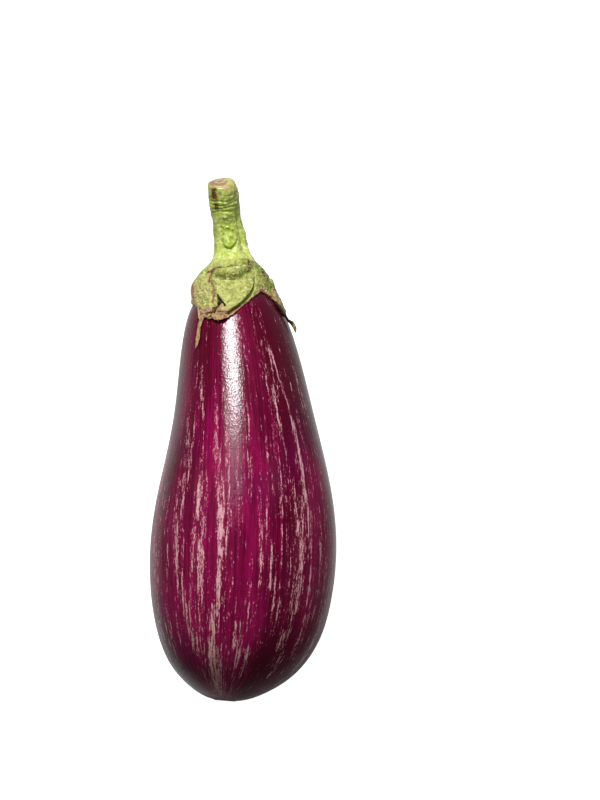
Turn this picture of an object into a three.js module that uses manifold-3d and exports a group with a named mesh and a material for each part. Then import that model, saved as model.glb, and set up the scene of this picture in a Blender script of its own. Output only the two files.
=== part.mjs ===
// A striped eggplant as picked, lying on its side: the fruit, the calyx that caps it, and the cut stem.
// Millimetres, +Z up. +Y runs from the blossom end to the stem, and the fruit's flat spot rests on Z = 0.
import * as THREE from "three";
import { mergeVertices } from "three/addons/utils/BufferGeometryUtils.js";
import Module from "manifold-3d";

// Driving dimensions.
const BELLY_RADIUS = 39.3;
const FRUIT_LENGTH = 183; // along the centre line, blossom end to the pole under the calyx
const PLANT_LENGTH = 223.2; // along the centre line, blossom end to the cut end of the stem
const STEM_RADIUS = 6.6;
const FLAT_DEPTH = 1.6; // how much the weight of the fruit flattens its underside
const BLOSSOM_LEAN = 3.4; // how far the blossom end leans to -X
const LEAN_LENGTH = 36; // how far up the fruit the lean fades out
const GAP = 0.35; // clearance between neighbouring pieces

// Calyx: a thick crown round the stem that thins into lobes. Reaches are measured over the fruit's skin
// from the pole under the stem.
const SEAT_RADIUS = 7.3; // where the stem stands on the crown
const CROWN_RISE = 6.6; // extra thickness over the pole
const CROWN_SPREAD = 17; // how far over the skin the crown thins out
const CROWN_SHAPE = 2.6; // how suddenly it does
const LOBE_THICKNESS = 1.3;
const COLLAR_REACH = 16; // the collar is whole as far as this, and the lobes part beyond it
const NOTCH_REACH = 21.5; // edge of the calyx between two lobes
// Angles go round the fruit from its upper side, in degrees, towards +X. A lobe narrows from its half
// width to its tip, and lifts off the skin there.
const LOBES = [
  { angle: -10, reach: 34, halfWidth: 58, lift: 0.3 },
  { angle: -64, reach: 28.5, halfWidth: 50, lift: 0.3 },
  { angle: -38, reach: 44, halfWidth: 8, lift: 0.2 }, // dry tail between the two upper lobes
  { angle: 76, reach: 33, halfWidth: 37, lift: 0.6 },
  { angle: 83, reach: 40, halfWidth: 8, lift: 3 }, // dry tip that curls away from the skin
  { angle: 148, reach: 34, halfWidth: 38, lift: 0.1 },
  { angle: -142, reach: 33, halfWidth: 38, lift: 0.1 },
];

// Mesh fineness.
const FRUIT_ROWS = 42;
const FRUIT_COLUMNS = 52;
const COLLAR_ROWS = 6;
const LOBE_ROWS = 7;
const CALYX_ROWS = COLLAR_ROWS + LOBE_ROWS;
const CALYX_COLUMNS = 120;
const STEM_ROWS = 20;
const STEM_COLUMNS = 24;

const COLOURS = { skin: 0x64103c, calyx: 0xa3b552, stem: 0x93b545 };

// The centre line from the blossom pole to the cut end. The neck droops and bows a little to -X, and
// the stem turns up again. Lengths are in units of the whole line.
const centreLine = new THREE.CatmullRomCurve3(
  [
    [-4.4, 0, 0],
    [-0.6, 59.6, -6.9],
    [-0.8, 118.7, -15.6],
    [-6.2, 180.2, -26.9],
    [-7.6, 197.0, -28.4],
    [-10.3, 218.6, -22.0],
  ].map((point) => new THREE.Vector3(...point)),
);
centreLine.arcLengthDivisions = 1000;

// The fruit's outline, blossom end first: radius over BELLY_RADIUS, and distance over FRUIT_LENGTH.
const fruitOutline = new THREE.SplineCurve(
  [
    [0, 0],
    [0.18, 0.004],
    [0.42, 0.028],
    [0.65, 0.069],
    [0.86, 0.145],
    [0.973, 0.248],
    [1, 0.35],
    [0.962, 0.447],
    [0.865, 0.553],
    [0.755, 0.662],
    [0.662, 0.775],
    [0.565, 0.87],
    [0.5, 0.91],
    [0.38, 0.952],
    [0.2, 0.987],
    [0, 1],
  ].map(([radius, along]) => new THREE.Vector2(radius * BELLY_RADIUS, along * FRUIT_LENGTH)),
);
const OUTLINE_LENGTH = fruitOutline.getLength();

// The stem's outline above its foot: radius over STEM_RADIUS, and distance over the stem's length.
const STEM_OUTLINE = [
  [1.1, 0],
  [1.02, 0.08],
  [0.96, 0.35],
  [0.92, 0.52],
  [1, 0.66],
  [0.99, 0.85],
  [0.86, 0.96],
  [0.7, 1],
];

// Places a point of a straight, upright lathe: its height becomes the distance along the centre line,
// and its section is turned square to that line, with the lathe's Z side up.
function ontoCentreLine(point) {
  const share = THREE.MathUtils.clamp(point.y / PLANT_LENGTH, 0, 1);
  const lean = BLOSSOM_LEAN * Math.max(0, 1 - point.y / LEAN_LENGTH) ** 2;
  const centre = centreLine.getPointAt(share);
  const forward = centreLine.getTangentAt(share);
  const right = new THREE.Vector3().crossVectors(forward, new THREE.Vector3(0, 0, 1)).normalize();
  const up = new THREE.Vector3().crossVectors(right, forward);
  return centre.addScaledVector(right, point.x - lean).addScaledVector(up, point.z);
}

// Bends a lathe along the centre line, after an optional change to each point by column and row.
function bend(geometry, rowsInOutline, reshape = (point) => point) {
  const position = geometry.getAttribute("position");
  for (let i = 0; i < position.count; i++) {
    const point = new THREE.Vector3().fromBufferAttribute(position, i);
    const column = Math.floor(i / rowsInOutline);
    const placed = ontoCentreLine(reshape(point, column, i % rowsInOutline));
    position.setXYZ(i, placed.x, placed.y, placed.z);
  }
  return geometry;
}

// Merges the lathe's seam and poles, so that only one closed surface of positions is left.
function closed(geometry) {
  geometry.deleteAttribute("normal");
  geometry.deleteAttribute("uv");
  return mergeVertices(geometry, 1e-3);
}

function solidOf(geometry, wasm) {
  const vertProperties = geometry.getAttribute("position").array;
  const triVerts = new Uint32Array(geometry.index.array);
  return new wasm.Manifold(new wasm.Mesh({ numProp: 3, vertProperties, triVerts }));
}

function geometryOf(solid) {
  const { vertProperties, triVerts } = solid.getMesh();
  return new THREE.BufferGeometry()
    .setAttribute("position", new THREE.BufferAttribute(vertProperties, 3))
    .setIndex(new THREE.BufferAttribute(triVerts, 1));
}

// A point of the outline at a reach over the skin from the stem's pole, moved off the skin.
function offSkin(reach, off) {
  const share = THREE.MathUtils.clamp(1 - reach / OUTLINE_LENGTH, 0, 1);
  const point = fruitOutline.getPointAt(share);
  const along = fruitOutline.getTangentAt(share);
  return point.add(new THREE.Vector2(along.y, -along.x).multiplyScalar(off));
}

const crownThickness = (reach) =>
  LOBE_THICKNESS + CROWN_RISE * Math.exp(-((reach / CROWN_SPREAD) ** CROWN_SHAPE));

// How much of a lobe there is at an angle: 1 at its middle and 0 past its half width.
function lobeShare(lobe, angle) {
  const turn = THREE.MathUtils.euclideanModulo(angle - lobe.angle + 180, 360) - 180;
  return Math.max(0, 1 - (turn / lobe.halfWidth) ** 2) ** 1.5;
}

// The calyx's edge at an angle: how far it reaches, and how far it stands off the skin.
function edgeAt(angle) {
  const shares = LOBES.map((lobe) => lobeShare(lobe, angle));
  const reaches = LOBES.map((lobe, i) => NOTCH_REACH + (lobe.reach - NOTCH_REACH) * shares[i]);
  const reach = Math.max(...reaches);
  const lobe = reaches.indexOf(reach);
  return { reach, lift: LOBES[lobe].lift * shares[lobe] };
}

// The fruit, flattened where it rests.
function makeFruit(wasm) {
  const outline = fruitOutline.getSpacedPoints(FRUIT_ROWS);
  outline[0].x = 0;
  outline[FRUIT_ROWS].x = 0;
  const lathe = new THREE.LatheGeometry(outline, FRUIT_COLUMNS);
  const round = closed(bend(lathe, outline.length));
  round.computeBoundingBox();
  const floor = round.boundingBox.min.z + FLAT_DEPTH;
  const block = new THREE.BoxGeometry(200, 400, 100).translate(0, 100, floor - 50);
  const flattened = solidOf(round, wasm).subtract(solidOf(closed(block), wasm));
  return { geometry: geometryOf(flattened), floor };
}

// How far over the skin a row of the calyx lies, where the row starts at one reach and ends at another.
function reachOfRow(row, start, end) {
  if (row <= COLLAR_ROWS) return start + ((COLLAR_REACH - start) * row) / COLLAR_ROWS;
  return COLLAR_REACH + ((end - COLLAR_REACH) * (row - COLLAR_ROWS)) / LOBE_ROWS;
}

// The calyx: a lathe from the pole, out under the lobes to their edge and back over them to the seat,
// whose columns are then stretched to the edge at their angle.
function makeCalyx(seat) {
  const outline = [new THREE.Vector2(0, FRUIT_LENGTH + GAP)];
  for (let row = 1; row <= CALYX_ROWS; row++) outline.push(new THREE.Vector2(0.5, row));
  for (let row = CALYX_ROWS; row >= 0; row--) outline.push(new THREE.Vector2(1, row));
  outline.push(new THREE.Vector2(0, seat));
  const last = outline.length - 1;

  return closed(
    bend(new THREE.LatheGeometry(outline, CALYX_COLUMNS), outline.length, (point, column, index) => {
      if (index === 0 || index === last) return point;
      const angle = (column / CALYX_COLUMNS) * 360;
      const edge = edgeAt(angle);
      const row = outline[index].y;
      const outside = index > CALYX_ROWS;
      const reach = reachOfRow(row, outside ? SEAT_RADIUS : 0, edge.reach);
      const lift = edge.lift * Math.max(0, (reach - COLLAR_REACH) / (edge.reach - COLLAR_REACH)) ** 2;
      const placed = offSkin(reach, GAP + lift + (outside ? crownThickness(reach) : 0));
      const round = THREE.MathUtils.degToRad(angle);
      const height = index === last - 1 ? seat : placed.y;
      return new THREE.Vector3(placed.x * Math.sin(round), height, placed.x * Math.cos(round));
    }),
  );
}

// The stem, from its foot on the crown to the cut end.
function makeStem(seat) {
  const foot = seat + GAP;
  const side = new THREE.SplineCurve(
    STEM_OUTLINE.map(
      ([radius, share]) =>
        new THREE.Vector2(radius * STEM_RADIUS, foot + share * (PLANT_LENGTH - foot)),
    ),
  ).getPoints(STEM_ROWS);
  const outline = [new THREE.Vector2(0, foot), ...side, new THREE.Vector2(0, PLANT_LENGTH)];
  return closed(bend(new THREE.LatheGeometry(outline, STEM_COLUMNS), outline.length));
}

function piece(name, geometry, color, roughness) {
  const material = new THREE.MeshStandardMaterial({ color, roughness, metalness: 0 });
  const mesh = new THREE.Mesh(geometry, material);
  mesh.name = name;
  return mesh;
}

const wasm = await Module();
wasm.setup();

const seat = offSkin(SEAT_RADIUS, GAP + crownThickness(SEAT_RADIUS)).y;
const fruit = makeFruit(wasm);
const lying = new THREE.Group();
lying.add(
  piece("fruit", fruit.geometry, COLOURS.skin, 0.25),
  piece("calyx", makeCalyx(seat), COLOURS.calyx, 0.5),
  piece("stem", makeStem(seat), COLOURS.stem, 0.4),
);

// The origin is on the surface that it rests on, under the middle of the whole eggplant.
const middle = new THREE.Box3().setFromObject(lying, true).getCenter(new THREE.Vector3());
lying.position.set(-middle.x, -middle.y, -fruit.floor);
const eggplant = new THREE.Group();
eggplant.add(lying);

export default eggplant;
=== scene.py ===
import math
import random

import bmesh
import bpy
import numpy as np
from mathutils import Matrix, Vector, noise


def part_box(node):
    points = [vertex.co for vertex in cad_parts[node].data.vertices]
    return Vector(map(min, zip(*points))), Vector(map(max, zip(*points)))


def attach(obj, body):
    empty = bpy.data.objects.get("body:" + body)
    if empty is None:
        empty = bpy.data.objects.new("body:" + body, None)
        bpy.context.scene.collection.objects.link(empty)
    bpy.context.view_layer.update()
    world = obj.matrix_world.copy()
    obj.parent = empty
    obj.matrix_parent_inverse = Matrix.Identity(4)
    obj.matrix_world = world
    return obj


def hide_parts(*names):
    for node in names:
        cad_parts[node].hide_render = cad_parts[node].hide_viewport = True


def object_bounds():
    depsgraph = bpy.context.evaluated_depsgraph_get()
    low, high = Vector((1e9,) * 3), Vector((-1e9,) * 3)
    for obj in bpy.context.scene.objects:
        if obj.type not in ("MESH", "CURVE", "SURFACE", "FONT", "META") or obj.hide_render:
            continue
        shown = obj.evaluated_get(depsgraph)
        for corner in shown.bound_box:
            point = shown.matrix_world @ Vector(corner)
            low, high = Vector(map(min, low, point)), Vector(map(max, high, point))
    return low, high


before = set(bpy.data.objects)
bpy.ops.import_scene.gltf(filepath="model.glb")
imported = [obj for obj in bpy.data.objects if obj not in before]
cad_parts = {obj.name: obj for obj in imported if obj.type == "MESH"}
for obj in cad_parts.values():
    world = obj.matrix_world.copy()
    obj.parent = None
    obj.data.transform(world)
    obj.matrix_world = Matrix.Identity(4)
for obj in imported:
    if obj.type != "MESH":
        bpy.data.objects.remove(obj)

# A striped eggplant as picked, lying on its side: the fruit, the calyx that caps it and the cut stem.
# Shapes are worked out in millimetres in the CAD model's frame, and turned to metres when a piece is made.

CAD_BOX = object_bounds()
MM = 0.001

# Driving sizes, as in the CAD model.
BELLY_RADIUS = 39.3
FRUIT_LENGTH = 183
PLANT_LENGTH = 223.2
BLOSSOM_LEAN = 3.4
LEAN_LENGTH = 36
SKIN_GAP = 0.1  # between the calyx's underside and the skin

# The centre line from the blossom pole to the cut end, and the fruit's outline round it, blossom end
# first: radius over BELLY_RADIUS, and distance over FRUIT_LENGTH.
CENTRE_LINE = [
    (-4.4, 0, 0),
    (-0.6, 59.6, -6.9),
    (-0.8, 118.7, -15.6),
    (-6.2, 180.2, -26.9),
    (-7.6, 197.0, -28.4),
    (-10.3, 218.6, -22.0),
]
FRUIT_OUTLINE = [
    (0, 0),
    (0.18, 0.004),
    (0.42, 0.028),
    (0.65, 0.069),
    (0.86, 0.145),
    (0.973, 0.248),
    (1, 0.35),
    (0.962, 0.447),
    (0.865, 0.553),
    (0.755, 0.662),
    (0.662, 0.775),
    (0.565, 0.87),
    (0.5, 0.91),
    (0.38, 0.952),
    (0.2, 0.987),
    (0, 1),
]

# Mesh fineness.
FRUIT_COLUMNS = 352
FRUIT_ROWS = 190
FRUIT_POLE_ROWS = 26  # extra rows over the last stretch to the blossom end
GREEN_COLUMNS = 300
CALYX_OUTER_ROWS = 110
CALYX_INNER_ROWS = 24
STEM_CAP_ROWS = 14
STEM_SIDE_ROWS = 150
SHRED_COLUMNS = 20
SHRED_ROWS = 46

# Pale streaks on the side that faces up: angle from the upper side towards +X in degrees, then in
# millimetres where each starts and ends along the fruit, and its half width; then its strength.
STREAKS = [
    (-28, 112, 94, 0.8, 0.7),
    (-28, 92, 74, 1.5, 1.0),
    (-25, 78, 62, 0.9, 0.8),
    (-26, 66, 46, 1.6, 1.0),
    (-29, 48, 38, 0.8, 0.6),
    (-19, 132, 96, 0.9, 1.0),
    (-16, 104, 82, 1.2, 1.0),
    (-14, 92, 74, 1.5, 1.0),
    (-13, 76, 46, 1.3, 1.0),
    (-13, 46, 38, 1.4, 1.0),
    (-17, 38, 20, 1.6, 1.0),
    (-16, 22, 4, 2.6, 1.0),
    (-9, 42, 28, 0.8, 0.7),
    (-2, 31, 22, 0.9, 1.0),
    (2, 31, 15, 1.0, 1.0),
    (9, 21, 11, 1.2, 1.0),
    (8, 153, 118, 0.4, 0.5),
    (4, 112, 94, 0.7, 0.7),
    (5, 100, 74, 0.8, 0.7),
    (10, 86, 71, 0.8, 0.9),
    (14, 82, 66, 0.9, 0.9),
    (11, 68, 55, 0.8, 0.9),
    (18, 64, 46, 0.8, 0.9),
    (21, 52, 36, 0.7, 0.8),
    (26, 42, 28, 1.1, 0.8),
    (12, 58, 48, 1.0, 0.7),
    (31, 146, 132, 0.5, 0.6),
    (27, 128, 108, 0.8, 0.8),
    (30, 106, 90, 0.7, 0.7),
    (22, 92, 76, 0.8, 0.6),
    (38, 48, 38, 1.1, 1.0),
    (36, 38, 26, 1.1, 0.8),
    (44, 82, 58, 1.0, 0.9),
    (46, 56, 42, 0.8, 0.8),
    (48, 36, 20, 1.2, 0.8),
    (34, 28, 23, 1.7, 1.0),
    (39, 21, 12, 1.5, 0.9),
    (60, 110, 70, 0.7, 0.6),
    (62, 60, 30, 1.0, 0.6),
    (46, 132, 106, 0.6, 0.6),
    (50, 118, 92, 0.6, 0.5),
    (-43, 74, 50, 1.0, 1.0),
    (-42, 54, 42, 0.8, 0.8),
    (-42, 92, 76, 1.6, 0.6),
    (-32, 56, 38, 0.8, 0.9),
    (-36, 42, 26, 1.0, 0.8),
    (-52, 62, 44, 0.8, 0.8),
    (-55, 84, 66, 1.2, 0.5),
    (-44, 120, 98, 0.6, 0.6),
    (-60, 100, 78, 0.8, 0.5),
    (-63, 70, 40, 0.9, 0.6),
    (-33, 30, 18, 1.2, 0.8),
    (-46, 34, 22, 1.0, 0.7),
]
# Long thin streaks: angle at the start and at the end, start, end, half width, strength.
LONG_STREAKS = [
    (-20, -13, 131, 59, 0.7, 1.2),
    (-13, -7, 132, 70, 0.55, 1.2),
    (-33, -28, 139, 108, 0.9, 1.1),
    (31, 38, 144, 122, 0.6, 1.1),
    (38, 43, 124, 78, 0.8, 1.2),
    (33, 39, 90, 47, 0.9, 1.2),
    (54, 56, 67, 34, 1.0, 1.2),
    (28, 30, 114, 101, 0.7, 1.0),
    (57, 64, 140, 106, 0.5, 0.9),
    (-42, -36, 112, 84, 0.6, 0.9),
    (3, 6, 100, 84, 0.5, 1.0),
    (-1, 2, 84, 60, 0.4, 0.8),
    (14, 20, 112, 78, 0.5, 0.9),
]
HIDDEN_STREAKS = 110  # more of them over the sides and underneath
HIDDEN_FROM = 66  # degrees from the upper side
FINE_STREAKS = 46  # hair-fine ones between those on the upper side
FINE_WIDTH = 0.45

# Broad mottled patches where streaks crowd together: degrees from the upper side and millimetres along,
# then half width, half length and strength.
BLOOMS = [
    (-28, 86, 3.5, 11, 0.9),
    (-28, 60, 3.5, 12, 0.7),
    (-14, 86, 3, 14, 0.8),
    (-12, 60, 4, 14, 0.5),
    (20, 90, 4, 10, 0.4),
    (-45, 70, 5, 20, 0.5),
    (44, 78, 4, 12, 0.6),
    (36, 60, 4, 14, 0.5),
    (12, 64, 3, 10, 0.3),
    (-16, 14, 5, 9, 0.6),
    (54, 46, 5, 14, 0.5),
    (-36, 30, 7, 12, 0.4),
    (120, 70, 9, 26, 0.5),
    (-112, 74, 9, 24, 0.5),
    (165, 60, 10, 26, 0.5),
    (-150, 48, 8, 20, 0.5),
]


def smooth_curve(points, count, mirrored=False):
    """Evenly spaced points on a smooth curve through the given ones, and its length. A mirrored curve
    crosses its axis squarely at both ends."""
    points = np.array(points, float)
    extra = 0
    if mirrored:
        extra = 3
        flipped = points * (-1, 1)
        points = np.concatenate([flipped[extra:0:-1], points, flipped[-2 : -2 - extra : -1]])
    knots = np.append(0, np.cumsum(np.linalg.norm(np.diff(points, axis=0), axis=1)))
    gaps = np.diff(knots)
    slopes = np.diff(points, axis=0) / gaps[:, None]
    system = np.eye(len(knots))
    bends = np.zeros_like(points)
    for i in range(1, len(knots) - 1):
        system[i, i - 1 : i + 2] = gaps[i - 1], 2 * (gaps[i - 1] + gaps[i]), gaps[i]
        bends[i] = 6 * (slopes[i] - slopes[i - 1])
    bends = np.linalg.solve(system, bends)

    fine = np.linspace(knots[extra], knots[-1 - extra], 10 * count)
    i = np.clip(np.searchsorted(knots, fine) - 1, 0, len(gaps) - 1)
    step = (fine - knots[i])[:, None]
    gap = gaps[i][:, None]
    curve = points[i] + step * (slopes[i] - gap * (2 * bends[i] + bends[i + 1]) / 6)
    curve += step**2 * bends[i] / 2 + step**3 * (bends[i + 1] - bends[i]) / (6 * gap)

    lengths = np.append(0, np.cumsum(np.linalg.norm(np.diff(curve, axis=0), axis=1)))
    even = np.linspace(0, lengths[-1], count)
    columns = [np.interp(even, lengths, curve[:, k]) for k in range(curve.shape[1])]
    return np.stack(columns, axis=1), lengths[-1]


def unit(vectors):
    return vectors / np.linalg.norm(vectors, axis=1)[:, None]


CENTRE, _ = smooth_curve(CENTRE_LINE, 1200)
ALONG_CENTRE = np.linspace(0, PLANT_LENGTH, len(CENTRE))
FORWARD = unit(np.gradient(CENTRE, axis=0))
RIGHT = unit(np.cross(FORWARD, (0, 0, 1)))
UP = np.cross(RIGHT, FORWARD)

OUTLINE, OUTLINE_LENGTH = smooth_curve(
    np.array(FRUIT_OUTLINE) * (BELLY_RADIUS, FRUIT_LENGTH), 3000, mirrored=True
)
OUTLINE = OUTLINE[::-1]  # from the stem's pole, because reaches are measured from there
REACHES = np.linspace(0, OUTLINE_LENGTH, len(OUTLINE))
OUTLINE_TURN = unit(np.gradient(OUTLINE, axis=0))
OUTLINE_NORMAL = OUTLINE_TURN[:, ::-1] * (-1, 1)


def look_up(table, at, places):
    """Rows of a table at the places asked for."""
    return np.stack([np.interp(at, places, table[:, k]) for k in range(table.shape[1])], axis=1)


def smooth_step(low, high, value):
    """0 at low, 1 at high and smooth between them. It falls where low is the greater."""
    share = np.clip((value - low) / (high - low), 0, 1)
    return share * share * (3 - 2 * share)


def bell(value, middle, width):
    """1 at the middle, fading out over a width on both sides."""
    return np.exp(-(((value - middle) / width) ** 2))


def whole_turn(angle):
    """The same angle between minus half a turn and half a turn."""
    return (angle + math.pi) % (2 * math.pi) - math.pi


def lumps(angle, along):
    """The slight unevenness of a grown fruit, as a share of its radius."""
    turn = along / FRUIT_LENGTH
    two = 0.006 * np.sin(2 * angle + 1.1 + 2.5 * turn)
    three = 0.004 * np.sin(3 * angle + 0.4 - 5 * turn)
    five = 0.003 * np.sin(5 * angle + 2.0 + 3 * turn)
    shoulder = 0.088 * np.maximum(0, np.cos(angle)) ** 2 * bell(along, 118, 28)
    return (two + three + five) * smooth_step(0, 20, along) + shoulder


def waist(angle, along):
    """How the stem's root swells on its right side and pinches on its left, as a share of its width."""
    right = 0.24 * bell(along, 197, 7)
    left = 0.05 * bell(along, 179, 3) - 0.12 * bell(along, 189, 3.8)
    return np.where(angle > 0, right, left)


def round_centre(angle, radius, along):
    """Points at an angle from the upper side, a distance from the centre line and a distance along it."""
    swollen = radius * (1 + lumps(angle, along))
    lean = BLOSSOM_LEAN * np.maximum(0, 1 - along / LEAN_LENGTH) ** 2
    across = (swollen * np.sin(angle) * (1 + waist(angle, along)) - lean)[:, None]
    up = (swollen * np.cos(angle))[:, None]
    centre = look_up(CENTRE, along, ALONG_CENTRE)
    right = look_up(RIGHT, along, ALONG_CENTRE)
    return centre + right * across + look_up(UP, along, ALONG_CENTRE) * up


def settling():
    """How far the shapes move from their own origin to the CAD model's place."""
    columns, rows = 120, 300
    low, high = (np.array(corner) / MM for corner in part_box("fruit"))
    angle = np.repeat(np.linspace(-math.pi, math.pi, columns), rows)
    place = np.tile(np.linspace(0, OUTLINE_LENGTH, rows), columns)
    radius, along = look_up(OUTLINE, place, REACHES).T
    own = round_centre(angle, radius, along)
    own_low, own_high = own.min(axis=0), own.max(axis=0)
    middle = (low + high) / 2 - (own_low + own_high) / 2
    return np.array((middle[0], low[1] - own_low[1], high[2] - own_high[2]))


SETTLE = settling()
REST_BLEND = 0.5  # how softly the flat underside starts


def rested(points):
    """Points in their place, none of them below the surface that the fruit rests on."""
    points = points + SETTLE
    height = points[:, 2]
    points[:, 2] = (height + np.sqrt(height**2 + REST_BLEND**2)) / 2
    return points


def over_skin(angle, reach, off):
    """Points at a reach over the skin from the stem's pole, a distance off it."""
    skin = look_up(OUTLINE, reach, REACHES)
    normal = look_up(OUTLINE_NORMAL, reach, REACHES)
    radius, along = (skin + normal * off[:, None]).T
    return rested(round_centre(angle, np.maximum(radius, 0), along))


def grain(points, size, seed):
    """Smooth random values between -1 and 1 over points in millimetres, with lumps of a size."""
    shift = Vector((seed * 17.3, seed * 5.1, seed * 9.7))
    return np.array([noise.noise(Vector(point) / size + shift) for point in points])


def turned(rows, columns):
    """A closed tube one unit in radius, with a point at both ends; and the angle and row of its points."""
    mesh = bmesh.new()
    ends = [mesh.verts.new((0, 1, 1)), mesh.verts.new((0, 1, rows - 1))]
    side = mesh.edges.new(ends)
    bmesh.ops.spin(
        mesh,
        geom=[*ends, side],
        cent=(0, 0, 0),
        axis=(0, 0, 1),
        angle=-2 * math.pi,
        steps=columns,
        use_merge=True,
    )
    lengthways = [edge for edge in mesh.edges if edge.verts[0].co.z != edge.verts[1].co.z]
    bmesh.ops.subdivide_edges(mesh, edges=lengthways, cuts=rows - 3)
    rims = [edge for edge in mesh.edges if edge.is_boundary]
    caps = bmesh.ops.holes_fill(mesh, edges=rims, sides=0)["faces"]
    for pole in bmesh.ops.poke(mesh, faces=caps)["verts"]:
        pole.co.z = 0 if pole.co.z < rows / 2 else rows
    grid = np.array([vert.co for vert in mesh.verts])
    return mesh, np.arctan2(grid[:, 0], grid[:, 1]), grid[:, 2]


def add_piece(name, shells, material, cad_node):
    """Makes one piece from closed shells: each is a mesh, its points' places and its painted values."""
    whole = bmesh.new()
    for mesh, points, _ in shells:
        for vert, point in zip(mesh.verts, points * MM):
            vert.co = point
        mesh.normal_update()
        bmesh.ops.recalc_face_normals(mesh, faces=mesh.faces)
        shell = bpy.data.meshes.new(name)
        mesh.to_mesh(shell)
        mesh.free()
        whole.from_mesh(shell)
        bpy.data.meshes.remove(shell)
    for face in whole.faces:
        face.smooth = True
    data = bpy.data.meshes.new(name)
    whole.to_mesh(data)
    whole.free()
    for paint in shells[0][2]:
        values = np.concatenate([paints[paint] for _, _, paints in shells])
        kind, field = ("FLOAT_VECTOR", "vector") if values.ndim == 2 else ("FLOAT", "value")
        data.attributes.new(paint, kind, "POINT").data.foreach_set(field, values.ravel())
    data.materials.append(material)
    made = bpy.data.objects.new(name, data)
    bpy.context.scene.collection.objects.link(made)
    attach(made, "root")
    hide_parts(cad_node)


# ---------------------------------------------------------------- materials


def node(tree, kind, inputs=None, **settings):
    """Adds a shader node. An input is a plain value or another node's output."""
    made = tree.nodes.new(kind)
    for name, value in settings.items():
        setattr(made, name, value)
    for name, value in (inputs or {}).items():
        if isinstance(value, bpy.types.NodeSocket):
            tree.links.new(value, made.inputs[name])
        else:
            made.inputs[name].default_value = value
    return made


def maths(tree, operation, *values):
    made = node(tree, "ShaderNodeMath", operation=operation)
    for socket, value in zip(made.inputs, values):
        if isinstance(value, bpy.types.NodeSocket):
            tree.links.new(value, socket)
        else:
            socket.default_value = value
    return made.outputs["Value"]


def total(tree, *terms):
    """The sum of (value, weight) pairs and plain numbers."""
    result = 0.0
    for term in terms:
        if isinstance(term, tuple):
            term = maths(tree, "MULTIPLY", *term)
        result = maths(tree, "ADD", result, term)
    return result


def step_between(tree, value, low, high):
    """0 below low, 1 above high and smooth between them."""
    made = node(
        tree,
        "ShaderNodeMapRange",
        {"Value": value, "From Min": low, "From Max": high},
        interpolation_type="SMOOTHSTEP",
    )
    return made.outputs["Result"]


def blended(tree, share, first, second):
    """One colour passing into another."""
    made = node(tree, "ShaderNodeMix", data_type="RGBA")
    for socket, value in zip([made.inputs[0], made.inputs[6], made.inputs[7]], [share, first, second]):
        if isinstance(value, bpy.types.NodeSocket):
            tree.links.new(value, socket)
        elif socket == made.inputs[0]:
            socket.default_value = value
        else:
            socket.default_value = (*value, 1)
    return made.outputs[2]


def noisy(tree, vector, scale, detail=2.0, roughness=0.5, stretch=None):
    """Random values about 0.5 in lumps of 1 / scale, stretched along the axes where asked."""
    if stretch:
        vector = node(tree, "ShaderNodeMapping", {"Vector": vector, "Scale": stretch}).outputs["Vector"]
    inputs = {"Vector": vector, "Scale": scale, "Detail": detail, "Roughness": roughness}
    return node(tree, "ShaderNodeTexNoise", inputs).outputs["Fac"]


def painted(tree, name):
    made = node(tree, "ShaderNodeAttribute", attribute_name=name)
    return made.outputs["Fac"], made.outputs["Vector"]


def new_material(name):
    """A material with its principled shader, ready for links."""
    material = bpy.data.materials.new(name)
    material.use_nodes = True
    tree = material.node_tree
    return material, tree, tree.nodes["Principled BSDF"]


PURPLE = (0.085, 0.0010, 0.016)
MAGENTA = (0.27, 0.0028, 0.066)
VIOLET = (0.10, 0.0025, 0.045)
WINE = (0.075, 0.003, 0.010)
STREAK_EDGE = (0.36, 0.04, 0.11)
STREAK_PINK = (0.72, 0.38, 0.42)
STREAK_BEIGE = (0.64, 0.39, 0.36)
CORK = (0.16, 0.10, 0.06)


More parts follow.
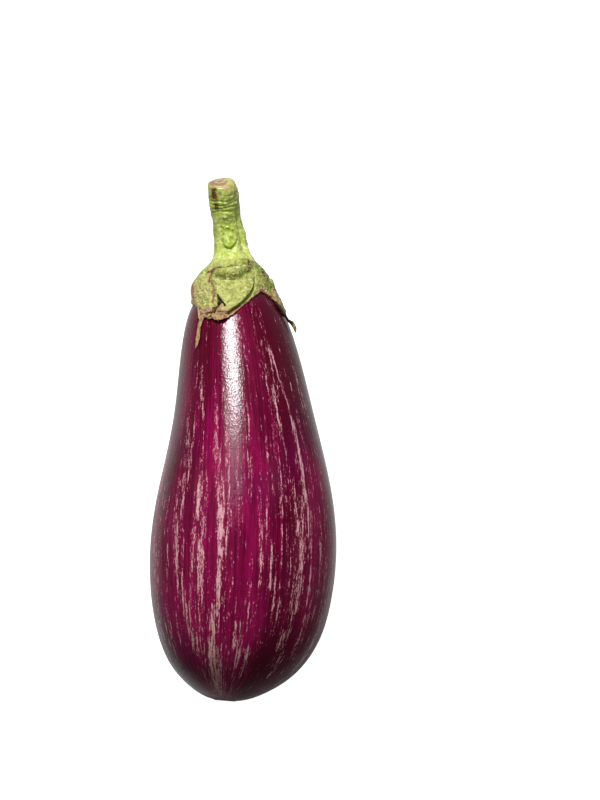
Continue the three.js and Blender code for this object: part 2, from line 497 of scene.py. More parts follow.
def skin_material():
    material, tree, shader = new_material("striped_skin")
    streaks, _ = painted(tree, "streaks")
    blooms, _ = painted(tree, "blooms")
    blush, _ = painted(tree, "blush")
    along, _ = painted(tree, "along")
    cork, _ = painted(tree, "cork")
    _, unrolled = painted(tree, "unrolled")

    violet = noisy(tree, unrolled, 30, 2, 0.5)
    threads = noisy(tree, unrolled, 900, 2, 0.5, stretch=(1, 1, 0.035))
    flecks = noisy(tree, unrolled, 1600, 3, 0.6, stretch=(1, 1, 0.15))
    holes = noisy(tree, unrolled, 2600, 2, 0.6, stretch=(1, 1, 0.4))
    bands = noisy(tree, unrolled, 150, 2, 0.5, stretch=(1, 1, 0.12))
    clouds = noisy(tree, unrolled, 42, 3, 0.5, stretch=(1, 1, 0.4))

    # How pale the skin is: the painted streaks, broken up by threads, flecks and pinholes.
    belly = step_between(tree, along, 0.95, 0.45)
    low = step_between(tree, along, 0.42, 0.2)
    level = total(tree, (streaks, 1.05), (flecks, 4.6), (threads, 2.7), (holes, 3.0), (bands, 2.2), -6.95)
    level = total(tree, level, (belly, 0.12), (low, 0.12), (blooms, 0.3))
    pale = step_between(tree, level, 0.25, 1.0)
    halo = step_between(tree, total(tree, level, (streaks, 0.5)), 0.1, 1.0)

    # Painted light and shade: a brighter magenta on the upper belly, partly the skin's own colour, and
    # painted shade on the neck's right side and towards the blossom end.
    depth = total(tree, (clouds, 2.2), (threads, 1.9), (flecks, 1.1), (blush, 0.7), -2.15)
    colour = blended(tree, step_between(tree, depth, 0.0, 1.0), PURPLE, MAGENTA)
    violet = maths(tree, "MULTIPLY", step_between(tree, violet, 0.52, 0.68), 0.35)
    colour = blended(tree, violet, colour, VIOLET)
    neck = maths(tree, "MULTIPLY", step_between(tree, along, 0.55, 0.85), 0.5)
    colour = blended(tree, neck, colour, WINE)
    mottle = total(tree, (halo, 0.4), (maths(tree, "MULTIPLY", blooms, holes), 0.7))
    colour = blended(tree, mottle, colour, STREAK_EDGE)
    streak_colour = blended(tree, step_between(tree, along, 0.1, 0.35), STREAK_BEIGE, STREAK_PINK)
    colour = blended(tree, pale, colour, streak_colour)
    colour = blended(tree, cork, colour, CORK)
    tree.links.new(colour, shader.inputs["Base Color"])

    position = node(tree, "ShaderNodeTexCoord").outputs["Object"]
    pores = noisy(tree, position, 1500, 2, 0.55)
    ripple = noisy(tree, position, 300, 2, 0.5)
    height = total(tree, pores, (ripple, 0.8), (pale, 0.1), (cork, 0.5))
    bump = node(tree, "ShaderNodeBump", {"Height": height, "Strength": 0.25, "Distance": 0.0005})
    tree.links.new(bump.outputs["Normal"], shader.inputs["Normal"])
    tree.links.new(total(tree, (pores, 0.08), (pale, 0.05), (cork, 0.4), 0.08), shader.inputs["Roughness"])
    shader.inputs["IOR"].default_value = 1.48
    return material


BLISTER_GREEN = (0.80, 0.82, 0.42)
FADED_OLIVE = (0.47, 0.42, 0.15)
DRY_BROWN = (0.25, 0.14, 0.06)
DRY_TAN = (0.52, 0.335, 0.165)
SCAR_DARK = (0.035, 0.022, 0.006)
SCAR_RUST = (0.27, 0.12, 0.028)
PITH = (0.33, 0.22, 0.12)
WOOD_RING = (0.66, 0.50, 0.38)


def tissue_group():
    """Fleshy green plant tissue that fades, turns tan where it dries and brown where it is scarred. It
    turns a deeper green for painted shade and for the stem's deeper middle, and has painted glints on its
    blisters.
    """
    group = bpy.data.node_groups.new("green_tissue", "ShaderNodeTree")
    sockets = [
        ("Vector", "INPUT", "NodeSocketVector"),
        ("Pale", "INPUT", "NodeSocketColor"),
        ("Green", "INPUT", "NodeSocketColor"),
        ("Faded", "INPUT", "NodeSocketFloat"),
        ("Dry", "INPUT", "NodeSocketFloat"),
        ("Scar", "INPUT", "NodeSocketFloat"),
        ("Crease", "INPUT", "NodeSocketFloat"),
        ("Color", "OUTPUT", "NodeSocketColor"),
        ("Height", "OUTPUT", "NodeSocketFloat"),
        ("Dryness", "OUTPUT", "NodeSocketFloat"),
    ]
    for name, in_out, kind in sockets:
        group.interface.new_socket(name, in_out=in_out, socket_type=kind)
    given = group.nodes.new("NodeGroupInput").outputs
    result = group.nodes.new("NodeGroupOutput").inputs

    mottle = noisy(group, given["Vector"], 380, 5, 0.6)
    blister = noisy(group, given["Vector"], 800, 2, 0.55)
    fibre = noisy(group, given["Vector"], 2600, 2, 0.6)

    # Painted shade, and the stem's deeper green down its middle, push the colour towards the deep green.
    depth = total(group, (mottle, 1.9), (blister, -1.8), (given["Crease"], 0.8), 0.3)
    colour = blended(group, step_between(group, depth, 0.0, 1.0), given["Pale"], given["Green"])
    # Painted glints: a pale yellow-white on the blisters' tops stands in for highlights.
    colour = blended(group, step_between(group, blister, 0.56, 0.72), colour, BLISTER_GREEN)
    faded = total(group, given["Faded"], (mottle, 1.2), -0.6)
    colour = blended(group, step_between(group, faded, 0.0, 1.2), colour, FADED_OLIVE)
    dryness = total(group, given["Dry"], (mottle, 1.6), (blister, 0.8), -1.2)
    dryness = step_between(group, dryness, 0.3, 0.65)
    tan = blended(group, step_between(group, blister, 0.32, 0.6), DRY_BROWN, DRY_TAN)
    colour = blended(group, dryness, colour, tan)
    scar = total(group, given["Scar"], (blister, 2.0), (mottle, 1.0), -1.5)
    scar = step_between(group, scar, 0.3, 0.8)
    worn = total(group, fibre, (given["Scar"], -0.25), 0.22)
    brown = blended(group, step_between(group, worn, 0.35, 0.65), SCAR_DARK, SCAR_RUST)
    colour = blended(group, scar, colour, brown)
    group.links.new(colour, result["Color"])
    height = total(group, (mottle, 0.8), (blister, 1.5), (fibre, 0.3), (scar, -0.3))
    group.links.new(height, result["Height"])
    group.links.new(maths(group, "MAXIMUM", dryness, scar), result["Dryness"])
    return group


def green_material(name, group, pale, green, roughness, bumps):
    """Green tissue between a pale and a deep green, with the stem's cut wood where it is painted."""
    material, tree, shader = new_material(name)
    tissue = node(tree, "ShaderNodeGroup", node_tree=group)
    position = node(tree, "ShaderNodeTexCoord").outputs["Object"]
    tree.links.new(position, tissue.inputs["Vector"])
    tissue.inputs["Pale"].default_value = (*pale, 1)
    tissue.inputs["Green"].default_value = (*green, 1)
    for mask in ("Faded", "Dry", "Scar", "Crease"):
        tree.links.new(painted(tree, mask.lower())[0], tissue.inputs[mask])
    colour = blended(tree, painted(tree, "pith")[0], tissue.outputs["Color"], PITH)
    # The cut's pale ring: partly the wood's own ring, partly a painted highlight on the wet cut.
    colour = blended(tree, painted(tree, "ring")[0], colour, WOOD_RING)
    tree.links.new(colour, shader.inputs["Base Color"])
    bump = node(
        tree,
        "ShaderNodeBump",
        {"Height": tissue.outputs["Height"], "Strength": bumps, "Distance": 0.0012},
    )
    tree.links.new(bump.outputs["Normal"], shader.inputs["Normal"])
    tree.links.new(total(tree, (tissue.outputs["Dryness"], 0.3), roughness), shader.inputs["Roughness"])
    shader.inputs["IOR"].default_value = 1.45
    return material


# ---------------------------------------------------------------- fruit


def streak_weights(angle, along, radius):
    """How much of a pale streak each point of the skin has."""
    chance = random.Random(11)
    streaks = [(turn, turn, *rest) for turn, *rest in STREAKS] + LONG_STREAKS
    for _ in range(HIDDEN_STREAKS):
        turn = chance.uniform(HIDDEN_FROM, 360 - HIDDEN_FROM)
        start = chance.uniform(18, 135)
        length = chance.uniform(10, 36)
        width = chance.uniform(0.5, 1.5)
        streaks.append((turn, turn, start, start - length, width, chance.uniform(0.5, 1)))
    for _ in range(FINE_STREAKS):
        turn = chance.uniform(-HIDDEN_FROM, HIDDEN_FROM)
        start = chance.uniform(35, 140)
        end = start - chance.uniform(12, 40)
        streaks.append((turn, turn, start, end, FINE_WIDTH, chance.uniform(0.5, 0.8)))

    weights = np.zeros(len(angle))
    for i, (turn, last_turn, start, end, width, strength) in enumerate(streaks):
        turns = np.interp(along, (end, start), (last_turn, turn))
        offset = whole_turn(angle - np.radians(turns))
        sway = 0.25 * np.sin(along / 6 + i)
        middle = (start + end) / 2
        reach = np.abs(along - middle) / (abs(start - end) / 2 + 2)
        inside = np.sqrt(np.maximum(0, 1 - reach**2))
        across = (offset * radius + sway) / (width * (0.25 + 0.5 * inside))
        weights = np.maximum(weights, strength * np.minimum(1, 1.6 * inside) * np.exp(-(across**2) / 2))
    return weights


def bloom_weights(angle, along, radius):
    """How mottled each point of the skin is."""
    weights = np.zeros(len(angle))
    for turn, place, half_width, half_length, strength in BLOOMS:
        across = whole_turn(angle - math.radians(turn)) * radius
        weights += strength * bell(across, 0, half_width) * bell(along, place, half_length)
    return np.minimum(1, weights)


def blossom_scar(radius, along, angle):
    """How deep the small corky dimple is where the flower was, with a raised ring round it."""
    ring = 0.5 * bell(radius, 3.2 + 0.5 * np.sin(3 * angle), 1.2)
    return smooth_step(12, 4, along) * (bell(radius, 0, 2.2) - ring)


def blush_weights(angle, along):
    """Where the skin is a brighter magenta on its upper belly, partly its own colour and partly painted
    light; below 0, painted shade on the neck's right side and towards the blossom end.
    """
    bright = bell(angle, 0, 0.32) * bell(along, 88, 22)
    return bright - bell(angle, 0.95, 0.4) * smooth_step(90, 125, along) - 0.4 * smooth_step(45, 15, along)


def make_fruit(material):
    pole_stretch = 10  # how far from the blossom end the rows lie closer together
    places = np.concatenate(
        [
            np.linspace(0, pole_stretch, FRUIT_POLE_ROWS, endpoint=False),
            np.linspace(pole_stretch, OUTLINE_LENGTH, FRUIT_ROWS),
        ]
    )
    mesh, angle, row = turned(len(places) - 1, FRUIT_COLUMNS)
    reach = OUTLINE_LENGTH - np.interp(row, np.arange(len(places)), places)
    radius, along = look_up(OUTLINE, reach, REACHES).T
    points = rested(round_centre(angle, radius, along + blossom_scar(radius, along, angle)))
    unrolled = np.stack([BELLY_RADIUS * np.cos(angle), BELLY_RADIUS * np.sin(angle), along], axis=1)
    paints = {
        "unrolled": unrolled * MM,
        "along": along / FRUIT_LENGTH,
        "streaks": streak_weights(angle, along, radius),
        "blooms": bloom_weights(angle, along, radius),
        "blush": blush_weights(angle, along),
        "cork": smooth_step(3.2, 1.6, radius) * smooth_step(10, 6, along),
    }
    add_piece("fruit", [(mesh, points, paints)], material, "fruit")


# ---------------------------------------------------------------- calyx


# A thick crown over the stem's pole that thins into the lobes.
CROWN_RISE = 6.6
CROWN_SPREAD = 17
CROWN_SHAPE = 2.6  # how suddenly it thins
LOBE_THICKNESS = 1.1
SEAT_REACH = 8.5  # where the stem's foot passes into the calyx
RIM = 0.6  # how far in from its edge the calyx reaches its full thickness
LEAST_THICKNESS = 0.1  # at its very edge

# The calyx's edge: degrees from the upper side, and how far it reaches over the skin.
CALYX_EDGE = [
    (-180, 24),
    (-165, 27),
    (-142, 33),
    (-120, 26),
    (-104, 22),
    (-88, 21.5),
    (-74, 22.5),
    (-62, 24.5),
    (-51, 27),
    (-43, 29.5),
    (-37, 32),
    (-31, 33.8),
    (-26, 34.4),
    (-20, 34.6),
    (-11, 35.6),
    (-5, 35.8),
    (-1, 34),
    (7, 31.2),
    (19, 27.8),
    (31, 24.9),
    (38, 23.1),
    (44, 22),
    (49, 22.3),
    (54, 24),
    (60, 26.8),
    (67, 30.5),
    (74, 33.5),
    (82, 32.5),
    (92, 28),
    (106, 23.5),
    (122, 25),
    (148, 34),
    (168, 26),
    (180, 24),
]


def calyx_edge(angle):
    """How far over the skin the calyx reaches at an angle, with a slightly ragged edge."""
    turns, reaches = np.array(CALYX_EDGE).T
    near = np.radians(turns)
    shifted = [np.interp(whole_turn(angle + shift), near, reaches) for shift in (-0.05, 0, 0.05)]
    ragged = 0.15 * np.sin(23 * angle) + 0.15 * np.sin(41 * angle + 1) + 0.12 * np.sin(67 * angle + 2)
    return np.mean(shifted, axis=0) + ragged


def round_radius(reach):
    """The calyx's rough distance from the centre line at a reach."""
    return np.interp(reach, REACHES, OUTLINE[:, 0]) + 2


def edge_distance(angle, reach):
    """How far inside the calyx's edge a point lies."""
    nearest = np.full(len(angle), 9.0)
    for side in np.linspace(-1.5, 1.5, 9):
        ahead = calyx_edge(angle + side / round_radius(reach)) - reach
        nearest = np.minimum(nearest, np.hypot(np.maximum(ahead, 0), side))
    return nearest


def crown_thickness(reach):
    return LOBE_THICKNESS + CROWN_RISE * np.exp(-((reach / CROWN_SPREAD) ** CROWN_SHAPE))


def gap_on_skin(angle, reach, at):
    """Millimetres over the skin, round it and along it, from a place given in degrees and reach."""
    return whole_turn(angle - math.radians(at[0])) * round_radius(reach), reach - at[1]


def line_on_skin(start, end):
    """Millimetres round the skin and along it from one place to another."""
    turn = math.radians(end[0] - start[0])
    return np.array((turn * round_radius((start[1] + end[1]) / 2), end[1] - start[1]))


def spot(angle, reach, at, size):
    """1 at a place on the calyx, fading out over a size, or over a size round it and one along it."""
    round_size, along_size = size if isinstance(size, tuple) else (size, size)
    across, along = gap_on_skin(angle, reach, at)
    return bell(across, 0, round_size) * bell(along, 0, along_size)


def stroke(angle, reach, start, end, width):
    """1 along a line between two places on the calyx, fading out over a width."""
    line = line_on_skin(start, end)
    across, along = gap_on_skin(angle, reach, start)
    share = np.clip((across * line[0] + along * line[1]) / (line @ line), 0, 1)
    distance = np.hypot(across - share * line[0], along - share * line[1])
    return bell(distance, 0, width)


def wedge(angle, reach, start, end, width):
    """1 in a narrow triangle that grows from its point to a half width at its other end."""
    line = line_on_skin(start, end)
    across, along = gap_on_skin(angle, reach, start)
    share = (across * line[0] + along * line[1]) / (line @ line)
    distance = np.abs(across * line[1] - along * line[0]) / np.linalg.norm(line)
    inside = smooth_step(0.15, -0.15, distance - width * share)
    return inside * smooth_step(-0.02, 0.02, share) * smooth_step(1.08, 0.98, share)


# Folds on the calyx's face: start, end, half width, height.
FOLDS = [
    ((-14, 10), (34, 9.3), 1.6, 1.1),
    ((-22, 12.6), (0, 12.6), 0.6, -2.0),
    ((0, 12.6), (20, 12.1), 0.6, -2.0),
    ((20, 12.1), (36, 10.7), 0.5, -1.2),
    ((-18, 14.4), (28, 13.4), 1.0, 1.2),
    ((-6, 15.4), (14, 15.2), 1.0, 1.0),
    ((-20, 16.2), (-10, 17), 0.7, -1.2),
    ((-10, 17), (3, 17.6), 0.8, -1.7),
    ((3, 17.6), (14, 17), 0.8, -1.7),
    ((14, 17), (33, 14), 0.7, -1.2),
    ((-27, 15), (-24, 22), 0.8, -0.7),
    ((-22, 22), (-23, 28), 0.8, -0.8),
    ((70, 12), (64, 24), 1.2, -0.6),
    ((66, 12), (70, 13), 1.2, 0.8),
    ((78, 15.2), (68, 15.6), 0.7, -0.9),
    ((60, 18), (66, 23), 0.7, -0.8),
    ((-60, 16), (-52, 25), 1.5, 0.5),
    ((110, 12), (108, 23), 1.5, -0.8),
    ((-104, 12), (-104, 21), 1.5, -0.8),
    ((180, 12), (180, 23), 1.5, -0.8),
    ((148, 14), (148, 32), 1.6, 0.5),
    ((-142, 14), (-142, 32), 1.6, 0.5),
]
SWELLINGS = [
    ((-48, 20), (6, 5), 0.9),
    ((58, 17), (3.5, 4), 0.8),
    ((8, 22), (8, 4), 0.3),
    ((-20, 31), (1.6, 1.8), -1.2),
    ((72, 18), (1.9, 2.2), 1.4),
]

# Where the front lobe is folded over itself: the fold's lower edge.
FLAP_EDGE = [
    (-30, 32),
    (-16, 32.5),
    (-6, 33.2),
    (-1, 31.8),
    (8, 29.3),
    (13, 27.8),
    (21, 24.8),
    (28, 21.8),
    (31, 19.5),
    (34, 16.8),
    (38, 13.5),
    (42, 10),
]
FLAP_HEIGHT = 1.1
HOLE = ((-17, 24.2), (-11.5, 30.4), 1.7)  # a tear in the front lobe: its point, its open end, half width


def past_flap(angle, reach):
    """How far past the flap's lower edge a point lies."""
    turns, reaches = np.array(FLAP_EDGE).T
    return reach - np.interp(np.degrees(angle), turns, reaches)


def calyx_relief(angle, reach):
    """How far the calyx's face stands above its smooth shape."""
    relief = sum(height * stroke(angle, reach, start, end, width) for start, end, width, height in FOLDS)
    relief += sum(height * spot(angle, reach, at, size) for at, size, height in SWELLINGS)
    relief -= 2.0 * wedge(angle, reach, *HOLE)
    degrees = np.degrees(angle)
    front = smooth_step(-32, -24, degrees) * smooth_step(46, 40, degrees) * smooth_step(10, 15, reach)
    past = past_flap(angle, reach)
    groove = 0.5 * bell(past, 0.9, 0.7)
    return relief + front * (FLAP_HEIGHT * smooth_step(0.3, -0.3, past) - groove)


def calyx_lift(angle, reach):
    """How far the calyx stands off the skin near its edge."""
    return 1.3 * spot(angle, reach, (-14, 38), (8, 5)) + 0.9 * spot(angle, reach, (62, 30), (5, 5))


# Dry and scarred places, and painted shade in creases: spots have a place, a size and a strength, and
# lines have a start, an end, a width and a strength.
DRY_SPOTS = [
    ((-14, 33.5), (5.5, 2.6), 1.2),
    ((-32, 31.5), (4.2, 3.2), 1.2),
    ((-44, 28), (3, 3), 0.8),
    ((42, 21.6), (3, 1.6), 0.95),
]
DRY_LINES = [
    ((-82, 13.5), (-59, 19), 1.9, 0.9),
    ((-59, 19), (-52, 26), 1.7, 0.9),
    ((-25, 17), (-22, 28), 1.7, 0.55),
    ((68, 23), (66, 29), 2.2, 1.0),
    ((66, 29), (74, 33), 1.6, 0.9),
]
SCAR_SPOTS = [
    ((-28, 13.2), 1.6, 1.1),
    ((57, 14.5), 0.8, 1.7),
    ((55, 16.3), 0.6, 1.4),
    ((76, 19.8), 0.8, 1.5),
]
SCAR_LINES = [
    ((-40, 13.2), (-18, 12.2), 0.8, 0.9),
    ((-30, 11), (-30, 17.5), 0.8, 0.8),
    ((24, 8.9), (36, 8.7), 0.8, 0.9),
    ((37, 8.7), (40, 12.5), 0.9, 0.9),
    ((-28, 16), (-25, 20), 0.8, 0.75),
    ((-22.5, 20.5), (-25, 23), 0.8, 0.65),
    ((-21, 24), (-23, 27.5), 0.8, 0.7),
    ((-80, 14), (-60, 20), 0.8, 0.6),
    ((-14, 30.2), (-24, 33), 0.9, 1.5),
    ((-5, 33.4), (8, 29.8), 0.45, 1.2),
    ((66, 30), (76, 35), 1.2, 0.9),
]
CREASE_LINES = [
    ((-20, 12.6), (20, 12.2), 0.7, 1.3),
    ((-18, 16.4), (3, 17.4), 0.9, 1.3),
    ((3, 17.4), (32, 14.2), 0.9, 1.3),
]
GREEN_PAINTS = ("dry", "scar", "crease", "faded", "pith", "ring")


def green_paints(count, **given):
    """The painted values of green tissue. Those that aren't given are 0."""
    return {name: given.get(name, np.zeros(count)) for name in GREEN_PAINTS}


def strongest(angle, reach, spots, lines, *others):
    """The strongest of some spots, lines and other weights at each point."""
    marks = [strength * spot(angle, reach, at, size) for at, size, strength in spots]
    marks += [strength * stroke(angle, reach, start, end, width) for start, end, width, strength in lines]
    return np.max([*marks, *others], axis=0)


def calyx_paints(angle, reach, inside):
    degrees = np.degrees(angle)
    past = past_flap(angle, reach)
    front = smooth_step(-30, -24, degrees) * smooth_step(48, 40, degrees)
    dry_edge = 0.85 * smooth_step(1.0, 0.1, inside)
    dry_side = 0.45 * smooth_step(150, 100, degrees) * smooth_step(75, 95, degrees)
    # The tear is painted dark: partly its brown torn edges, partly painted shade in the hole.
    torn = 2.4 * wedge(angle, reach, *HOLE)
    # Painted shade: in the groove under the flap's edge, a darker green over the calyx's right side, and
    # along the creases.
    under_flap = 1.6 * front * smooth_step(-0.4, 0.1, past) * smooth_step(1.9, 0.9, past)
    green_side = 1.3 * smooth_step(40, 50, degrees) * smooth_step(150, 110, degrees)
    crease = strongest(angle, reach, [], CREASE_LINES, under_flap, green_side)
    bare_swelling = 1 - spot(angle, reach, (72, 18), (2.2, 2.4))
    return green_paints(
        len(angle),
        dry=strongest(angle, reach, DRY_SPOTS, DRY_LINES, dry_edge, dry_side),
        scar=strongest(angle, reach, SCAR_SPOTS, SCAR_LINES, torn),
        crease=crease * bare_swelling,
        faded=strongest(angle, reach, [((-50, 21), (8, 7), 0.9)], [], 0.35 * smooth_step(10, 14, reach)),
    )


# Dry shreds of the calyx: how thick each is and how scarred all but its tip is, then its path over the
# skin in degrees and reach, with its half width and how far it is lifted.
SHREDS = [
    (
        0.9,
        0.1,
        [
            (-40, 26, 1.8, 0.3),
            (-37.5, 30, 2.3, 0.3),
            (-37, 34, 1.4, 0.3),
            (-38.8, 37, 0.95, 0.4),
            (-38.6, 40.5, 1.05, 0.5),
            (-39.2, 43.5, 1.0, 0.5),
            (-40, 45.3, 0.55, 0.6),
            (-41.2, 47, 0.12, 0.9),
        ],
    ),
    (
        1.6,
        1.9,
        [
            (60, 27, 1.0, 0.6),
            (66, 31, 0.8, 0.7),
            (71, 34, 0.55, 0.9),
            (75, 35.8, 0.6, 1.2),
            (79, 37, 1.1, 1.7),
            (81, 38.8, 0.9, 1.9),
            (81, 41, 0.12, 1.6),
        ],
    ),
    (
        0.6,
        0.1,
        [
            (-10.5, 28.6, 0.3, 1.8),
            (-12.5, 31.5, 1.5, 1.6),
            (-13, 34, 2.4, 1.3),
            (-12, 36.2, 2.0, 1.1),
        ],
    ),
    (
        0.6,
        1.2,
        [
            (-15, 27, 0.2, 1.5),
            (-20, 30, 0.8, 1.4),
            (-25.5, 32.5, 0.9, 1.2),
            (-28, 34.5, 0.1, 0.9),
        ],
    ),
    (
        0.6,
        0.3,
        [
            (-24, 32, 0.4, 1.1),
            (-20, 34, 1.0, 1.2),
            (-17, 35.6, 0.7, 1.1),
            (-16, 36.8, 0.1, 1.0),
        ],
    ),
]


def make_shred(thickness, dark, path):
    """A thin ribbon along a path, cupped a little and narrowing to its ends."""
    mesh, angle, row = turned(SHRED_ROWS, SHRED_COLUMNS)
    spine, _ = smooth_curve(path, SHRED_ROWS + 1)
    laid_flat = np.stack([spine[:, 0] * (math.pi / 180 * round_radius(spine[:, 1])), spine[:, 1]], axis=1)
    heading = unit(np.gradient(laid_flat, axis=0))
    spine_rows = np.arange(SHRED_ROWS + 1)
    turn, reach, half_width, lift = look_up(spine, row, spine_rows).T
    ahead = look_up(heading, row, spine_rows)
    end = np.minimum(1, np.minimum(row, SHRED_ROWS - row) / 2)
    across = half_width * end * np.sin(angle)
    fullness = 0.35 + 0.65 * half_width / half_width.max()
    cupped = 0.35 * np.sin(angle) ** 2 * half_width
    off = thickness / 2 * fullness * end * np.cos(angle) + cupped
    shred_angle = np.radians(turn) + across * ahead[:, 1] / round_radius(reach)
    shred_reach = reach - across * ahead[:, 0]
    points = over_skin(shred_angle, shred_reach, SKIN_GAP + lift + off)
    points += 0.15 * grain(points, 1.5, 6)[:, None] * (1, 1, 0)
    ones = np.ones(len(row))
    scar = dark * smooth_step(0.85, 0.65, row / SHRED_ROWS)
    return mesh, points, green_paints(len(row), dry=0.95 * ones, scar=scar, faded=0.5 * ones)


def make_calyx(material):
    outer = CALYX_OUTER_ROWS
    inner = CALYX_INNER_ROWS
    rows = outer + inner
    mesh, angle, row = turned(rows, GREEN_COLUMNS)
    edge = calyx_edge(angle)
    share = np.clip((row - 1) / (outer - 1), 0, 1)
    reach_out = SEAT_REACH + (edge - SEAT_REACH) * share
    inside = edge_distance(angle, reach_out)
    rim = np.clip(inside / RIM, 0, 1)
    thickness = crown_thickness(reach_out)
    base = over_skin(angle, reach_out, thickness)
    rough = 0.28 * grain(base, 2.6, 1) + 0.28 * grain(base, 1.5, 2)
    raised = calyx_relief(angle, reach_out) + rough * smooth_step(SEAT_REACH, SEAT_REACH + 3, reach_out)
    thinned = 0.6 + 0.4 * smooth_step(0, 4, inside)
    body = np.maximum((thickness * thinned + raised) * np.sqrt(rim * (2 - rim)), LEAST_THICKNESS)
    lift = SKIN_GAP + calyx_lift(angle, reach_out)

    under = row > outer
    reach = np.where(under, edge * (rows - row) / inner, reach_out)
    off = np.where(under, SKIN_GAP + calyx_lift(angle, reach), lift + body)
    off = np.where(row == outer, lift + LEAST_THICKNESS, off)
    points = over_skin(angle, reach, off)
    points[row == 0] = points[row == 1].mean(axis=0)
    shells = [(mesh, points, calyx_paints(angle, reach, np.where(under, 0, inside)))]
    shells += [make_shred(*shred) for shred in SHREDS]
    add_piece("calyx", shells, material, "calyx")


# ---------------------------------------------------------------- stem


# The stem's outline from its cut end: radius, and distance from the end.
STEM_OUTLINE = [
    (4.4, 0),
    (5.5, 0.8),
    (6.1, 2.6),
    (6.45, 7),
    (6.3, 12),
    (5.95, 17),
    (6.15, 24),
    (6.5, 28.5),
]
# Wrinkles round the stem: how far from the cut end, half width, height.
WRINKLES = [
    (4.6, 0.5, -0.15),
    (6.8, 0.4, -0.32),
    (8.4, 0.45, -0.36),
    (10.1, 0.45, -0.44),
    (11.7, 0.5, -0.40),
    (15.5, 0.9, -0.15),
]
# Small knobs on the stem's face: degrees from the upper side, and how far from the cut end.
KNOBS = [(-4, 14.6), (16, 13.4), (-16, 18.9), (1, 19.3), (20, 20.6), (-14, 22), (8, 24)]


def side_of_crown(reach):
    """Radius and distance from the cut end of the calyx's face at a reach."""
    place = look_up(OUTLINE, [reach], REACHES)[0]
    normal = look_up(OUTLINE_NORMAL, [reach], REACHES)[0]
    radius, along = place + normal * (SKIN_GAP + crown_thickness(reach))
    return radius, PLANT_LENGTH - along


def stem_side():
    """Radius and distance from the cut end, all the way down the stem's side to its foot on the calyx."""
    foot = side_of_crown(SEAT_REACH)
    side, _ = smooth_curve([*STEM_OUTLINE, foot, side_of_crown(SEAT_REACH + 2)], 2000)
    side = side[: np.argmin(np.hypot(side[:, 0] - foot[0], side[:, 1] - foot[1])) + 1]
    side[-1] = foot
    return side


def make_stem(material):
    side = stem_side()
    foot = side[-1, 1]
    rows = STEM_CAP_ROWS + STEM_SIDE_ROWS + 1
    mesh, angle, row = turned(rows, GREEN_COLUMNS)
    cap = np.clip(row / STEM_CAP_ROWS, 0, 1)
    share = np.clip((row - STEM_CAP_ROWS) / STEM_SIDE_ROWS, 0, 1)
    radius, depth = look_up(side, share * (len(side) - 1), np.arange(len(side))).T
    radius = np.where(row == rows, 0, radius * cap)

    # The side: wrinkles, ribs, a groove on the right and a boss with a rounded lower end.
    degrees = np.degrees(angle)
    front = bell(degrees, 0, 65)
    wrinkles = sum(
        height * bell(depth, at + 0.35 * np.sin(3 * angle + at), width) for at, width, height in WRINKLES
    )
    body = smooth_step(1.0, 4, depth) * smooth_step(foot, foot - 5, depth)
    ribs = 0.2 * np.sin(5 * angle + 0.6) + 0.14 * np.sin(9 * angle + depth / 9)
    groove = -0.9 * bell(degrees, 50 + depth / 5, 8) * smooth_step(11, 17, depth)
    chin = 29.9 - 2.8 * (degrees / 22) ** 2
    boss = smooth_step(20, 27, depth) * smooth_step(chin + 0.5, chin - 0.5, depth)
    boss = 1.5 * bell(degrees, 0, 24) * boss
    for turn, at in KNOBS:
        boss = boss + 0.55 * bell(degrees, turn, 7) * bell(depth, at, 0.75)
    start = round_centre(angle, radius, PLANT_LENGTH - depth)
    rough = 0.36 * grain(start, 3.2, 3) + 0.14 * grain(start, 1.3, 4)
    relief = body * (wrinkles * (0.35 + 0.65 * front) + ribs + groove + boss + rough)

    # The cut end: slightly hollow with a raised ring, tilted and uneven.
    hollow = np.where(row < STEM_CAP_ROWS, 0.35 * (1 - cap**2) - 0.15 * bell(cap, 0.5, 0.12), 0)
    hollow -= 0.6 * smooth_step(4, 0, depth)
    tilt = 0.2 * np.cos(angle - 0.4) * radius
    hollow += smooth_step(5, 0, depth) * (0.3 * grain(start, 4, 8) + tilt)
    points = rested(round_centre(angle, radius + relief, PLANT_LENGTH - depth - hollow))

    scar_above = 1.1 * bell(degrees, -37, 16) * smooth_step(6.5, 4.5, depth) * smooth_step(0.0, 0.8, depth)
    scar_below = bell(degrees, -33, 12) * bell(depth, 9.3, 2.6)
    # Painted shade in the wrinkles and under the boss; down the middle of its front the stem is a deeper
    # green.
    in_wrinkles = np.clip(-wrinkles * 1.3, 0, 1) * front
    under_boss = 1.2 * bell(degrees, 0, 24) * bell(depth, chin - 0.8, 1.6)
    middle = 0.35 * bell(degrees, -2, 36) * smooth_step(3, 7, depth) * smooth_step(29, 26, depth)
    cut = smooth_step(1.0, 0.3, depth)
    across, back = radius * np.sin(angle), radius * np.cos(angle)
    paints = green_paints(
        len(row),
        dry=0.45 * smooth_step(3, 0.5, depth),
        scar=np.maximum(scar_above, scar_below),
        crease=np.max([in_wrinkles, under_boss, middle], axis=0),
        faded=0.5 * smooth_step(6, 1, depth) + 0.3 * smooth_step(foot - 4, foot, depth),
        pith=cut * smooth_step(4.6, 3.6, np.hypot(across + 1.4, back)),
        # A pale ring on the cut: partly the cut wood's own ring, partly a painted highlight on the wet
        # cut.
        ring=0.8 * cut * bell(np.hypot(across + 0.4, back + 1.6), 1.9, 0.5),
    )
    add_piece("stem", [(mesh, points, paints)], material, "stem")


# ---------------------------------------------------------------- studio


FLOOR_HALF_SIZE = 2.5
FLOOR_PALE = (0.62, 0.62, 0.62)  # in an oval pool under the eggplant
FLOOR_DIM = (0.12, 0.12, 0.12)  # beyond it, so that little light comes back from the sides
POOL_SHIFT = (0.22, 0.38, 0)
POOL_SCALE = (11, 7.5, 1)
WHITE = (1, 1, 1, 1)
LIGHTS_LOOK_AT = (0, 0, 0.04)


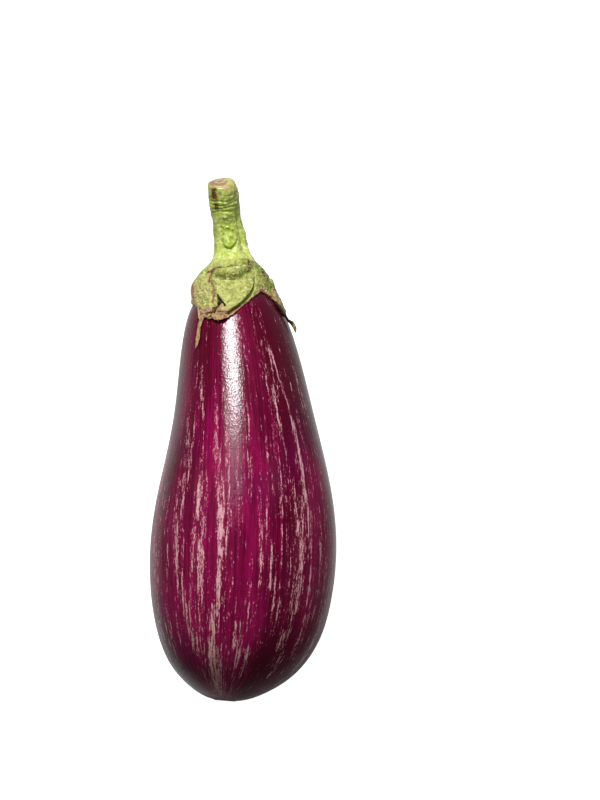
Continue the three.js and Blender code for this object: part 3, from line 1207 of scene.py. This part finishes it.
def area_light(name, towards, distance, size, power):
    """A soft rectangular light that looks at the middle of the eggplant from a direction."""
    data = bpy.data.lights.new(name, "AREA")
    data.shape = "RECTANGLE"
    data.size, data.size_y = size
    data.energy = power
    lamp = bpy.data.objects.new(name, data)
    away = Vector(towards).normalized()
    lamp.location = Vector(LIGHTS_LOOK_AT) + away * distance
    lamp.rotation_euler = away.to_track_quat("Z", "Y").to_euler()
    bpy.context.scene.collection.objects.link(lamp)
    return lamp


def seen_by_camera(tree):
    return node(tree, "ShaderNodeLightPath").outputs["Is Camera Ray"]


def floor_material():
    """Pale to the camera everywhere, but it lights the eggplant's underside from a pool only."""
    material, tree, shader = new_material("pale_floor")
    place = node(tree, "ShaderNodeTexCoord").outputs["Object"]
    inputs = {"Vector": place, "Location": POOL_SHIFT, "Scale": POOL_SCALE}
    shifted = node(tree, "ShaderNodeMapping", inputs).outputs["Vector"]
    away = node(tree, "ShaderNodeVectorMath", {0: shifted}, operation="LENGTH").outputs["Value"]
    pool = step_between(tree, away, 1.6, 0.6)
    tree.links.new(blended(tree, pool, FLOOR_DIM, FLOOR_PALE), shader.inputs["Base Color"])
    shader.inputs["Roughness"].default_value = 0.9
    shader.inputs["Specular IOR Level"].default_value = 0
    shader.inputs["Emission Color"].default_value = WHITE
    tree.links.new(total(tree, (seen_by_camera(tree), 0.95), 0.0), shader.inputs["Emission Strength"])
    return material


def make_floor():
    mesh = bmesh.new()
    bmesh.ops.create_grid(mesh, x_segments=1, y_segments=1, size=FLOOR_HALF_SIZE)
    data = bpy.data.meshes.new("floor")
    mesh.to_mesh(data)
    mesh.free()
    data.materials.append(floor_material())
    floor = bpy.data.objects.new("floor", data)
    bpy.context.scene.collection.objects.link(floor)


def make_lights():
    """A white surround, a key light, the tail that its highlight has towards the belly, and two lights
    that don't show in the skin's gloss."""
    world = bpy.data.worlds.new("studio")
    world.use_nodes = True
    tree = world.node_tree
    background = tree.nodes["Background"].inputs
    tree.links.new(total(tree, (seen_by_camera(tree), 0.9), 0.05), background["Strength"])
    background["Color"].default_value = WHITE
    bpy.context.scene.world = world
    bpy.context.scene.view_settings.view_transform = "Standard"

    area_light("key", (-0.195, 0.82, 0.58), 1.3, (0.22, 0.36), 20)
    area_light("tail", (-0.17, 0.57, 0.80), 1.3, (0.18, 0.34), 1.9).visible_diffuse = False
    area_light("wash", (0.35, 0.68, 0.66), 1.5, (0.6, 0.6), 4).visible_glossy = False
    area_light("fill", (0.2, -0.3, 0.93), 1.5, (0.6, 0.6), 3.5).visible_glossy = False


VIEW_LENS = 135
VIEW_HEIGHT = 1.26  # above the eggplant's middle, which makes the frame 336 mm tall there
VIEW_SHIFT = (0.0239, 0.0160)  # the eggplant lies left of and below the middle of the frame


def make_camera():
    """A camera that looks straight down."""
    low, high = CAD_BOX
    data = bpy.data.cameras.new("camera")
    data.lens = VIEW_LENS
    camera = bpy.data.objects.new("camera", data)
    middle = (low + high) / 2
    camera.location = (middle.x + VIEW_SHIFT[0], middle.y + VIEW_SHIFT[1], middle.z + VIEW_HEIGHT)
    bpy.context.scene.collection.objects.link(camera)
    bpy.context.scene.camera = camera


CALYX_GREENS = ((0.58, 0.61, 0.17), (0.22, 0.27, 0.035))
STEM_GREENS = ((0.58, 0.62, 0.19), (0.34, 0.48, 0.045))

make_camera()
make_floor()
make_lights()
make_fruit(skin_material())
TISSUE = tissue_group()
make_calyx(green_material("green_calyx", TISSUE, *CALYX_GREENS, roughness=0.14, bumps=0.85))
make_stem(green_material("green_stem", TISSUE, *STEM_GREENS, roughness=0.06, bumps=0.35))
